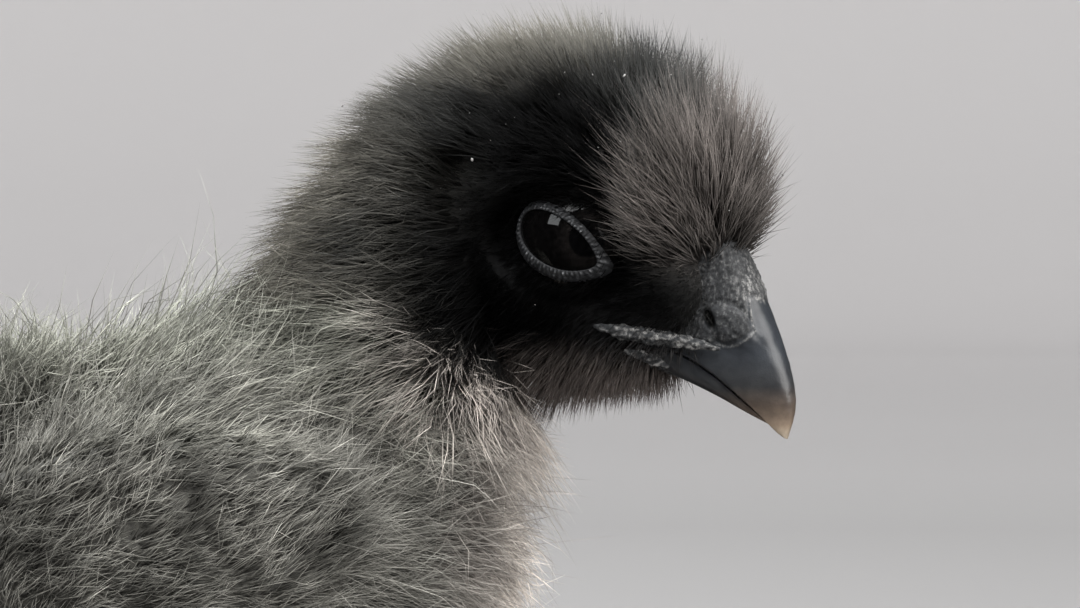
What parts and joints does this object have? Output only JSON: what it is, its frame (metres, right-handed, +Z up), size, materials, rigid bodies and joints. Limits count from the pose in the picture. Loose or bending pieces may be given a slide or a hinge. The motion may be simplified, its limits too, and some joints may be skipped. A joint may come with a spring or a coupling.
{
  "type": "silkie chick",
  "caption": "Life-size still model of a dark grey downy silkie chick with a puffed crest, standing with its head turned to its right.",
  "frame": {"origin": "on the floor, below the middle of the outline seen from above", "axes": "+X forward along the body, +Y to the left of the chick, +Z up"},
  "size_m": [0.0888, 0.0464, 0.0953],
  "materials": {
    "down": "soft woolly grey-buff down",
    "crown_down": "charcoal down with pale tips",
    "skin": "matte blue-black scaly skin",
    "bill": "satin slate horn, paler at the tip",
    "claw": "satin horn",
    "eye": "wet gloss, near black"
  },
  "bodies": {
    "root": {"eye_left": "eye", "lid_left": "skin", "cere_left": "skin", "eye_right": "eye", "lid_right": "skin", "cere_right": "skin", "bill_upper": "bill", "bill_lower": "bill", "crest": "crown_down", "head": "crown_down", "neck": "down", "tail": "down", "torso": "down", "wing_left": "down", "thigh_left": "down", "shank_left": "skin", "foot_left": "skin", "claw_inner_left": "claw", "claw_middle_left": "claw", "claw_outer_left": "claw", "claw_hind_left": "claw", "claw_fifth_left": "claw", "wing_right": "down", "thigh_right": "down", "shank_right": "skin", "foot_right": "skin", "claw_inner_right": "claw", "claw_middle_right": "claw", "claw_outer_right": "claw", "claw_hind_right": "claw", "claw_fifth_right": "claw"}
  },
  "joints": []
}
